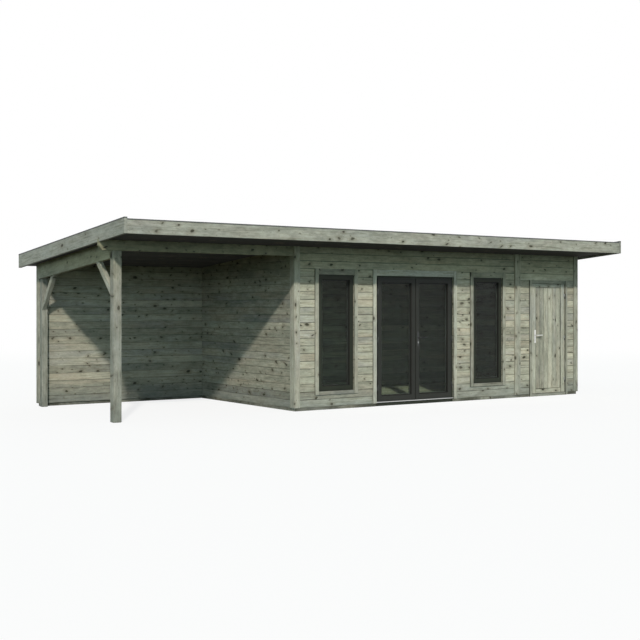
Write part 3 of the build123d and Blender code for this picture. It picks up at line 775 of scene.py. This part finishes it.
screw_coat = screw_finish("screw_coat")
FRONT, REAR, LEFT, RIGHT = -Y_WAY, Y_WAY, -X_WAY, X_WAY
FOOT, HEAD = 0.16, 2.20  # lowest and highest screws of the long boards
places = []
for w0, w1 in windows:
    for x in (w0 - CASING / 2, w1 + CASING / 2):
        places += up_a_board(x, y_face, FRONT, low.z + 0.06, high.z - 0.06, 0.42)
for x in (case_low.x + 0.033, case_high.x - 0.033):
    places += up_a_board(x, y_face, FRONT, FOOT, case_high.z - 0.05, 0.45)
for i in range(5):
    x = case_low.x + 0.12 + i * (case_high.x - case_low.x - 0.24) / 4
    places.append(((x, y_face, case_high.z - 0.035), FRONT))
for x in (batten_low.x + 0.03, batten_high.x - 0.03):
    places += up_a_board(x, batten_low.y, FRONT, FOOT, 2.16, 0.40)
for x in (x_cab + 0.02, x_cab + 0.055, x_right - 0.02, x_right - 0.055):
    places += up_a_board(x, y_face, FRONT, FOOT, HEAD, 0.51)
for y in (y_front + 0.025, y_front + 0.085):
    places += up_a_board(x_cab - TRIM, y, LEFT, FOOT, HEAD, 0.51)
    places += up_a_board(x_right + TRIM, y, RIGHT, FOOT, HEAD, 0.51)
screws("trim_screws", places, 49)

# Fixed windows: a painted sash in a frame that lies further back, swept round from one
# profile with mitred corners, and a sealed unit of two sheets of glass.


def dark_finish(name, colour=(0.018, 0.0215, 0.0145), rough=0.45):
    """Anthracite paint on timber, a little dusty, with the brush's faint orange peel."""
    material, net = material_net(name)
    place = net.place()
    cloud = net.noise(net.scaled(place, 2.4), 3.0)
    peel = net.noise(net.scaled(place, 420.0), 2.0)
    dust = net.noise(net.scaled(place, 30.0), 4.0, 0.65)
    tint = net.blend(cloud.ramp(0.35, 0.7) * 0.5, colour, [c * 1.35 for c in colour])
    tint = net.blend(dust.ramp(0.55, 0.80) * 0.25, tint, (0.055, 0.055, 0.045))
    roughness = dust * 0.2 + (rough - 0.08)
    sockets = {"Base Color": tint, "Roughness": roughness, "Specular IOR Level": 0.16}
    net.coat(sockets, peel, 0.18, 0.0006)
    return material


OUT, IN = 0, 1  # a point of a profile is placed from the outer or the inner edge


def swept_ring(form, profile, low, high, sides, seals=()):
    """Sweeps a closed profile of (edge, inset, depth) round a rectangle. sides holds the
    widths left, right, low and top, and the faces that start at the points in seals take the second
    finish."""
    left, right, foot, top = sides
    loops = []
    for edge, inset, depth in profile:
        x0, x1 = low.x + (edge * left + inset), high.x - (edge * right + inset)
        z0, z1 = low.z + (edge * foot + inset), high.z - (edge * top + inset)
        corners = ((x0, z0), (x1, z0), (x1, z1), (x0, z1))
        loops.append([form.verts.new((x, depth, z)) for x, z in corners])
    faces = bridge(form, loops + loops[:1])
    for number, face in enumerate(faces):
        face.material_index = int(number // 4 in seals)
    bmesh.ops.recalc_face_normals(form, faces=faces)


def sash_profile(face, back, glass0, glass1):
    """Section of a sash: eased front, a bevelled bead in front of the glass and a lip behind."""
    soft, bead, lip = 0.002, 0.012, 0.010
    return [
        (OUT, 0.0, face + soft),
        (OUT, soft, face),
        (IN, -bead - soft, face),
        (IN, -bead, face + soft),
        (IN, -bead, face + 0.005),
        (IN, 0.0, face + 0.016),
        (IN, 0.0, glass0),
        (IN, -lip, glass0),
        (IN, -lip, glass1),
        (IN, 0.0, glass1),
        (IN, 0.0, back),
        (OUT, 0.0, back),
    ]


def frame_profile(face, back, soft=0.002):
    """Section of a frame with its inner edge eased."""
    return [(OUT, 0.0, face), (IN, -soft, face), (IN, 0.0, face + soft), *bar_profile(face, back)[2:]]


def bar_profile(face, back):
    """Section of a plain bar."""
    return [(OUT, 0.0, face), (IN, 0.0, face), (IN, 0.0, back), (OUT, 0.0, back)]


def mesh_piece(name, form, finishes, slot, *nodes, body="building", smooth=None):
    """Makes a piece of a bmesh."""
    mesh = meshed(name, form)
    for finish in finishes:
        mesh.materials.append(finish)
    if smooth is not None:
        mesh.shade_smooth()
        mesh.set_sharp_from_angle(angle=math.radians(smooth))
    hand_over(name, mesh, body, nodes)


# These faces are near-black rubber: glazing rubber, and painted shade in the reveal round the glass.
SEALS = (4, 5)  # the bead against the glass and the reveal behind it
joinery_finish = dark_finish("joinery_paint")
leaf_paint = dark_finish("leaf_paint", (0.0225, 0.0235, 0.0205))
# near-black rubber, darker than the paint: glazing rubber and painted shade in the reveals
rubber = dark_finish("glazing_rubber", (0.006, 0.006, 0.005), 0.7)
pane_low, pane_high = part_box("window_panes")
FACE, RIM, SET = 0.084, 0.010, 0.016
LAP = FACE - 0.010  # the glass is let in behind the lip
form = bmesh.new()
units = []
for w0, w1 in windows:
    low, high = Vector((w0, 0, frame_low.z)), Vector((w1, 0, frame_high.z))
    inset = Vector((RIM, 0, RIM))
    section = sash_profile(frame_low.y, frame_high.y, pane_low.y, pane_high.y)
    swept_ring(form, section, low + inset, high - inset, [FACE - RIM] * 4, SEALS)
    section = frame_profile(frame_low.y + SET, frame_high.y)
    swept_ring(form, section, low, high, [RIM] * 4)
    low, high = Vector((w0 + LAP, *pane_low.yz)), Vector((w1 - LAP, *pane_high.yz))
    units.append((low, high))
mesh_piece("window_sashes", form, [joinery_finish, rubber], "dark_joinery", "window_frames")


def glass_finish(name, tint=(0.914, 0.940, 0.918), index=1.15):
    """Clear float glass: it lets lamps through and mirrors a little of the studio."""
    material, net = material_net(name)
    clear = net.add("ShaderNodeBsdfTransparent", {"Color": tint})
    shine = net.add("ShaderNodeBsdfGlossy", {"Color": (1, 1, 1), "Roughness": 0.015})
    net.end(net.mix(net.add("ShaderNodeFresnel", {"IOR": index}), clear, shine))
    return material


def block(form, low, high, ease=0.0, steps=1):
    """A box in a bmesh, with eased edges if asked."""
    made = bmesh.ops.create_cube(form, size=1.0)["verts"]
    low, high = Vector(low), Vector(high)
    size, middle = high - low, (low + high) / 2
    for v in made:
        v.co = v.co * size + middle
    if ease:
        edges = list({e for v in made for e in v.link_edges})
        bmesh.ops.bevel(form, geom=edges, offset=ease, segments=steps, profile=0.5, affect="EDGES")


glass = glass_finish("glass")
spacer_finish = dark_finish("spacer_bar", (0.060, 0.062, 0.060), 0.35)
SHEET = 0.004
SEAL = 0.016


def sealed_units(name, units, node, body="building"):
    """Pairs of sheets of glass, and the dark bars that part them at their edges."""
    panes, bars = bmesh.new(), bmesh.new()
    for low, high in units:
        block(panes, low, (high.x, low.y + SHEET, high.z))
        block(panes, (low.x, high.y - SHEET, low.z), high)
        swept_ring(bars, bar_profile(low.y + SHEET, high.y - SHEET), low, high, [SEAL] * 4)
    mesh_piece(name + "_glass", panes, [glass], "glazing", node, body=body)
    mesh_piece(name + "_spacers", bars, [spacer_finish], "dark_joinery", body=body)


sealed_units("window", units, "window_panes")

# Double door: a painted frame with a stop behind the leaves, a ribbed metal strip on its
# bottom member, and two glazed leaves.
DOOR_FACE, STOP = 0.030, 0.014
strip_low, strip_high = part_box("door_threshold")
sill, top = strip_low.z, strip_high.z
leaf_back = strip_high.y
frame_face = y_front + SET
form = bmesh.new()
for section, face in (
    (frame_profile(frame_face, leaf_back), DOOR_FACE),
    (bar_profile(leaf_back, door_high.y), DOOR_FACE + STOP),
):
    swept_ring(form, section, door_low, door_high, [face, face, sill, face])
mesh_piece("double_door_frame", form, [joinery_finish], "dark_joinery", "door_frame")


def metal_finish(name, colour, rough, metallic=1.0, brushed=60.0):
    """Metal with a fine brushed surface and faint stains."""
    material, net = material_net(name)
    place = net.place()
    x, y, z = net.split(place)
    brush = net.noise(net.join(x * brushed, y * 900.0, z * 900.0), 2.0)
    stain = net.noise(net.scaled(place, 25.0), 3.0)
    tint = net.blend(stain.ramp(0.4, 0.75) * 0.3, colour, [c * 0.72 for c in colour])
    roughness = brush * 0.16 + stain * 0.10 + (rough - 0.1)
    sockets = {"Base Color": tint, "Metallic": metallic, "Roughness": roughness}
    net.coat(sockets, brush, 0.15, 0.0004)
    return material


def skin(form, loops):
    """Faces from each loop to the next and over both ends."""
    faces = [form.faces.new(loops[0]), form.faces.new(loops[-1]), *bridge(form, loops)]
    bmesh.ops.recalc_face_normals(form, faces=faces)


def drawn(form, outline, x0, x1):
    """Draws a closed (depth, height) outline out along the front."""
    skin(form, [[form.verts.new((x, y, z)) for y, z in outline] for x in (x0, x1)])


strip_finish = metal_finish("aluminium_strip", (0.62, 0.63, 0.62), 0.36)
RIBS = 7
form = bmesh.new()
outline = [(frame_face, sill), (frame_face, top - 0.001), (frame_face + 0.001, top)]
rib = (leaf_back - frame_face - 0.012) / RIBS
for i in range(RIBS):
    start = frame_face + 0.006 + i * rib
    for share, sunk in ((0, 0), (0.25, 0.0015), (0.65, 0.0015), (0.9, 0)):
        outline.append((start + rib * share, top - sunk))
outline += [(leaf_back, top), (leaf_back, sill)]
drawn(form, outline, door_low.x + DOOR_FACE, door_high.x - DOOR_FACE)
nose = strip_low.y
outline = [
    (frame_face, sill),
    (nose + 0.002, sill),
    (nose, sill + 0.002),
    (nose, top - 0.004),
    (nose + 0.0012, top - 0.0012),
    (nose + 0.004, top),
    (frame_face, top),
]
drawn(form, outline, door_low.x, door_high.x)
mesh_piece("threshold_strip", form, [strip_finish], "threshold", "door_threshold")

STILE, RAIL_TOP, RAIL_LOW = 0.084, 0.080, 0.093
for side in ("left", "right"):
    body = side + "_leaf"
    low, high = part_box(f"leaf_{side}_frame")
    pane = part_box(f"leaf_{side}_pane")
    form = bmesh.new()
    section = sash_profile(low.y, high.y, pane[0].y, pane[1].y)
    swept_ring(form, section, low, high, [STILE, STILE, RAIL_LOW, RAIL_TOP], SEALS)
    mesh_piece(body + "_joinery", form, [leaf_paint, rubber], "dark_joinery",
               f"leaf_{side}_frame", body=body)
    sealed_units(body, [pane], f"leaf_{side}_pane", body)

# Store door: a timber lining and casing down to the ground, and a framed leaf whose upright
# V-jointed planks lie a little behind its face.
LINING, STORE_CASING = 0.022, 0.057
timbers("store_door_lining", framed(store_low, store_high, LINING, LINING, base_h), trim_finish,
        "store_lining", ease=0.0015, seed=51)
low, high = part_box("store_casing")
POCKET_X = 4.072  # the hinges are let into the casing up to here
POCKET_H = 0.0883
store_cuts = framed(low, high, STORE_CASING, STORE_CASING, base_h)
UPRIGHT = 90  # the split right upright is all of one log
store_cuts[1] = cut((POCKET_X, low.y, 0), high, 2, UPRIGHT)
z = 0.0
for pocket in (0.2180, 0.9438, 1.6698, high.z):
    store_cuts.append(cut((high.x - STORE_CASING, low.y, z), (POCKET_X, high.y, pocket), 2, UPRIGHT))
    z = pocket + POCKET_H
timbers("store_door_surround", store_cuts, casing_finish, "store_casing", ease=0.0015, seed=53)
leaf_finish = timber_finish("store_leaf_board", light=0.90, grey=0.12, knots=0.5, joint=0.95)
S_STILE, S_TOP, S_LOW = 0.092, 0.062, 0.075
timbers("store_leaf_joinery", framed(*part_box("store_leaf_frame"), S_STILE, S_TOP, S_LOW),
        leaf_finish, "store_leaf_frame", body="store_leaf", ease=0.003, steps=2, seed=55)
plank_low, plank_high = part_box("store_leaf_planks")
PLANKS = 6
GROOVE = Vector((0.016, 0, 0.014))  # shadow groove between the frame and the planks
panel_low, panel_high = plank_low + GROOVE, plank_high - GROOVE
step = (panel_high.x - panel_low.x) / PLANKS
planks = [
    cut((panel_low.x + i * step, plank_low.y, panel_low.z),
        (panel_low.x + (i + 1) * step, plank_high.y, panel_high.z), 2)
    for i in range(PLANKS)
]
strip_y = plank_high.y - 0.006  # slips that close the groove at the back
for x0, x1 in ((plank_low.x, panel_low.x), (panel_high.x, plank_high.x)):
    planks.append(cut((x0, strip_y, plank_low.z), (x1, plank_high.y, plank_high.z), 2))
for z0, z1 in ((plank_low.z, panel_low.z), (panel_high.z, plank_high.z)):
    planks.append(cut((panel_low.x, strip_y, z0), (panel_high.x, plank_high.y, z1), 0))
timbers("store_leaf_boards", planks, leaf_finish, "store_leaf_planks", body="store_leaf",
        ease=0.004, seed=57)

# Hinges and handles: round steel knuckles on flaps, long handle plates with levers, dark on
# the double door and bright on the store door, each with a bright lock cylinder.
steel = metal_finish("brushed_steel", (0.72, 0.72, 0.70), 0.30)
zinc = metal_finish("hinge_zinc", (0.30, 0.31, 0.30), 0.50)
black = metal_finish("handle_black", (0.030, 0.032, 0.031), 0.38, metallic=0.0)


def refinish(node, finish):
    """Gives a CAD node another finish."""
    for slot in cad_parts[node].material_slots:
        slot.material = finish


for node in ("hinge_pins", "leaf_left_hinges", "leaf_right_hinges"):
    refinish(node, black)
refinish("store_leaf_hinges", zinc)
DOME = ((0.45, 0.92), (0.80, 0.62), (1.0, 0.12))  # (out, width) of a bar's domed end


def turned_bar(form, points, radius, sides=20):
    """A round bar that follows points, with domed ends."""
    points = [Vector(p) for p in points]
    last = len(points) - 1
    stations = []
    for i, point in enumerate(points):
        way = (points[min(i + 1, last)] - points[max(i - 1, 0)]).normalized()
        across = way.cross(Z_WAY).normalized()
        stations.append((point, across, across.cross(way), radius))
        if i in (0, last):
            for out, width in DOME:
                tip = point + way * (radius * 0.5 * out * (1 if i else -1))
                dome = (tip, across, across.cross(way), radius * width)
                stations.insert(len(stations) if i else 0, dome)
    skin(form, [circle(form, *station, sides) for station in stations])


def disc(form, x, y, z, radius, depth, ease=0.0008, sides=28):
    """A round boss that stands forward from depth y."""
    steps = ((0.0, radius), (-depth + ease, radius), (-depth, radius - ease))
    skin(form, [circle(form, Vector((x, y + out, z)), X_WAY, Z_WAY, r, sides) for out, r in steps])


LEVER_Z, CYLINDER_DOWN, PLATE = 1.048, 0.072, 0.006
BEND = 0.014  # radius of a lever's bend
plate_face = y_front - PLATE
for name, plate_body, lever_body, finish in (
    ("door", "right_leaf", "door_lever", black),
    ("store", "store_leaf", "store_lever", steel),
):
    low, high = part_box(name + "_plate")
    middle = (low.x + high.x) / 2
    form = bmesh.new()
    block(form, (low.x, plate_face, low.z), (high.x, y_front, high.z), 0.0022, 3)
    disc(form, middle, plate_face, LEVER_Z, 0.0125, 0.003)
    for z in (low.z + 0.014, high.z - 0.014):
        disc(form, middle, plate_face, z, 0.0038, 0.0012, 0.0005, 16)
    mesh_piece(name + "_handle_plate", form, [finish], "steel", name + "_plate",
               body=plate_body, smooth=35)
    form = bmesh.new()
    disc(form, middle, plate_face, LEVER_Z - CYLINDER_DOWN, 0.0085, 0.0038, 0.001)
    block(form, (middle - 0.0045, plate_face - 0.0038, LEVER_Z - CYLINDER_DOWN - 0.022),
          (middle + 0.0045, plate_face, LEVER_Z - CYLINDER_DOWN), 0.0015, 2)
    mesh_piece(name + "_lock_cylinder", form, [steel], "steel", body=plate_body, smooth=35)
    low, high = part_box(name + "_lever")
    reach = low.y + 0.009
    points = [(middle, plate_face - 0.0005), (middle, reach + BEND)]
    for a in (20, 45, 70, 90):
        r = math.radians(a)
        points.append((middle + BEND * (1 - math.cos(r)), reach + BEND * (1 - math.sin(r))))
    points.append((high.x - 0.006, reach))
    form = bmesh.new()
    turned_bar(form, [(x, y, LEVER_Z) for x, y in points], 0.0086)
    mesh_piece(name + "_handle_lever", form, [finish], "steel", name + "_lever",
               body=lever_body, smooth=50)

# Shelter: two posts with rounded edges, a front beam with a bevelled end, a side beam that
# follows the roof, and two braces cut against the posts and the side beam.
# Painted shade: the posts, braces and beams darken and warm towards the roof, the beams most.
frame_timber = timber_finish("frame_timber", light=0.78, grey=0.50, knots=0.42, splash=0.4, eaves_shade=0.4)
beam_timber = timber_finish("beam_timber", light=0.90, grey=0.30, knots=0.34, eaves_shade=0.75)
POST, REAR_POST = 0.116, 0.090
SIDE_H, BEAM_W = 0.232, 0.060
x_rear_post = x_post + POST - REAR_POST
rear_y = y_in1 - POST
beam_low, beam_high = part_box("front_beam")
under_beam = (Vector((0, Y_EDGE, UNDER_Z - SIDE_H)), roof_plane[1])
posts = [
    cut((x_post, y_front, 0), (x_post + POST, y_front + POST, beam_low.z), 2),
    cut((x_rear_post, rear_y, 0), (x_post + POST, y_in1, 2.30), 2),
]
timbers("shelter_posts", posts, frame_timber, "posts", ease=0.008, steps=3,
        planes=[roof_plane], seed=61)
timbers("shelter_side_beam",
        [cut((x_post, y_front + BEAM_W, -SIDE_H), (x_post + BEAM_W, y_in1, 0), 1)],
        beam_timber, "side_beam", ease=0.003, steps=2, lean=True, seed=63)
FREE_CUT, FREE_CUT_H = 0.046, 0.062  # bevel at the free end of the front beam
free_edge = (
    Vector((beam_low.x + FREE_CUT, 0, beam_low.z)),
    Vector((-FREE_CUT_H, 0, -FREE_CUT)).normalized(),
)
timbers("shelter_front_beam", [cut(beam_low, (beam_high.x, beam_high.y, TRIM_TOP), 0)],
        beam_timber, "front_beam", ease=0.003, steps=2, planes=[roof_plane, free_edge], seed=65)
BRACE_W, BRACE_RUN, BRACE_T = 0.075, 0.485, 0.060
BRACE_STOCK = 1.0  # length before it is cut against the post and the beam
for name, x_side, y_post, way in (
    ("front", x_post, y_front + POST, 1),
    ("rear", x_rear_post, rear_y, -1),
):
    y_head = y_post + way * BRACE_RUN
    foot = Vector((0, y_post, under(y_post) - SIDE_H - BRACE_RUN))
    head = Vector((0, y_head, under(y_head) - SIDE_H))
    run = (head - foot).normalized()
    inward = Vector((0, -way, 0))
    normal = (inward - run * inward.dot(run)).normalized()
    middle = (foot + head) / 2 + normal * BRACE_W / 2
    middle.x = x_side + BRACE_T / 2
    turn = Matrix.Rotation(math.atan2(run.z, run.y), 3, "X") @ Matrix.Rotation(math.pi / 2, 3, "Z")
    item = (middle, Vector((BRACE_STOCK, BRACE_T, BRACE_W)), tuple(turn.to_euler("XYZ")), None)
    face = (Vector((0, y_post, 0)), inward)
    timbers(f"shelter_brace_{name}", [item], frame_timber, "braces", ease=0.003, steps=2,
            planes=[face, under_beam], seed=67 + way)

# Roof: soffit boards on the underside of the rafters, boards on top of them, mineral felt
# in lapped courses, timber fascias all round and a dark coated capping on their top edges.
# Painted shade: the soffit boards are near black, for the shade under the roof.
shaded_soffit_finish = timber_finish("soffit_board", light=0.10, grey=0.8, knots=0.4, joint=0.85)
rafter_finish = timber_finish("rafter", light=0.85, knots=0.3)
low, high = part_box("roof_lining")
in0, in1, yf, yb = low.x, high.x, low.y, high.y
LINING_T, RAFTER_H, RAFTER_W, RAFTERS, DECK_T = 0.018, 0.102, 0.058, 15, 0.020
SOFFIT, DECK = 0.1085, 0.14  # widths of the boards
deck_z = LINING_T + RAFTER_H
felt_z = deck_z + DECK_T


def sheets(pitch, z0, z1):
    """Boards side by side from the front to the rear of the roof."""
    count = round((yb - yf) / pitch)
    step = (yb - yf) / count
    return [cut((in0, yf + i * step, z0), (in1, yf + (i + 1) * step, z1), 0) for i in range(count)]


timbers("soffit_boards", sheets(SOFFIT, 0, LINING_T), shaded_soffit_finish, "roof_lining", ease=0.003,
        lean=True, seed=71)
rafter_step = (in1 - in0 - RAFTER_W) / (RAFTERS - 1)
rafter_xs = [in0 + i * rafter_step for i in range(RAFTERS)]
rafters = [cut((x, yf, LINING_T), (x + RAFTER_W, yb, deck_z), 1) for x in rafter_xs]
timbers("roof_rafters", rafters, rafter_finish, "rafters", lean=True, seed=73)
timbers("deck_boards", sheets(DECK, deck_z, felt_z), rafter_finish, "roof_deck", ease=0.001,
        lean=True, seed=75)


def felt_finish(name):
    """Bitumen felt with green-grey mineral chips and a paler bloom."""
    material, net = material_net(name)
    place = net.place()
    chips = net.add("ShaderNodeTexVoronoi", {"Vector": place, "Scale": 420.0})
    bright = net.split(chips.out("Color"))[0]
    cloud = net.noise(net.scaled(place, 1.3), 4.0, 0.6)
    tint = net.blend(bright, (0.060, 0.066, 0.062), (0.150, 0.160, 0.150))
    tint = net.blend(cloud.ramp(0.4, 0.7) * 0.35, tint, (0.135, 0.138, 0.120))
    net.coat({"Base Color": tint, "Roughness": bright * 0.1 + 0.86}, bright, 0.5, 0.0012)
    return material


low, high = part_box("roof_felt")
LAYER, LAP_OVER, RISE, COURSES = 0.0024, 0.080, 0.01, 4
form = bmesh.new()
step = (high.y - low.y) / COURSES
for i in range(COURSES):
    y_up, y_down = low.y + i * step, low.y + (i + 1) * step
    line = [(y_up, 0), (y_down - RISE, 0), (y_down, LAYER), (y_down + LAP_OVER, LAYER)]
    if i == COURSES - 1:
        line = [(y_up, 0), (high.y, 0)]
    lower = [(y, under(y) + felt_z + lift) for y, lift in line]
    drawn(form, lower + [(y, z + LAYER) for y, z in reversed(lower)], in0, in1)
mesh_piece("felt_courses", form, [felt_finish("mineral_felt")], "felt", "roof_felt")

fascia_finish = timber_finish("fascia_board", light=0.92, grey=0.50, knots=0.55, joint=0.3)
side_fascia = timber_finish("side_fascia_board", light=0.64, grey=0.70, knots=0.30, joint=0.3)
PROUD = 0.001  # room for the screw heads inside the roof's outline
front_low, front_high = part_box("front_fascia")
timbers("front_fascia_board", [cut((front_low.x, front_low.y + PROUD, front_low.z), front_high, 0)],
        fascia_finish, "front_fascia", ease=0.003, steps=2, seed=81)
low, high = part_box("rear_fascia")
y_rear_face = high.y - PROUD
timbers("rear_fascia_board", [cut((low.x, low.y, 0), (high.x, y_rear_face, felt_z), 0)],
        fascia_finish, "rear_fascia", ease=0.003, steps=2, lean=True, seed=83)
low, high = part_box("side_fascias")
SIDE_T, DROP, SIDE_FASCIA = 0.045, 0.030, 0.195
sides = [
    cut((x0, low.y, -DROP), (x1, high.y, SIDE_FASCIA - DROP), 1)
    for x0, x1 in ((low.x + PROUD, low.x + SIDE_T), (high.x - SIDE_T, high.x - PROUD))
]
timbers("side_fascia_boards", sides, side_fascia, "side_fascias", ease=0.003, steps=2,
        lean=True, seed=85)

SIDE_SCREWS = 8
places = []
for x in rafter_xs:
    for z in (0.035, 0.125):
        places.append(((x + RAFTER_W / 2, front_low.y + PROUD, front_low.z + z), FRONT))
    for z in (0.030, 0.085):
        places.append(((x + RAFTER_W / 2, y_rear_face, under(y_rear_face + PROUD) + z), REAR))
for i in range(SIDE_SCREWS):
    y = low.y + 0.12 + i * (high.y - low.y - 0.24) / (SIDE_SCREWS - 1)
    for z in (0.020, 0.115):
        places.append(((low.x + PROUD, y, under(y) + z), LEFT))
        places.append(((high.x - PROUD, y, under(y) + z), RIGHT))
screws("fascia_screws", places, 87)
refinish("edge_caps", metal_finish("capping_metal", (0.080, 0.083, 0.080), 0.80, metallic=0.0))
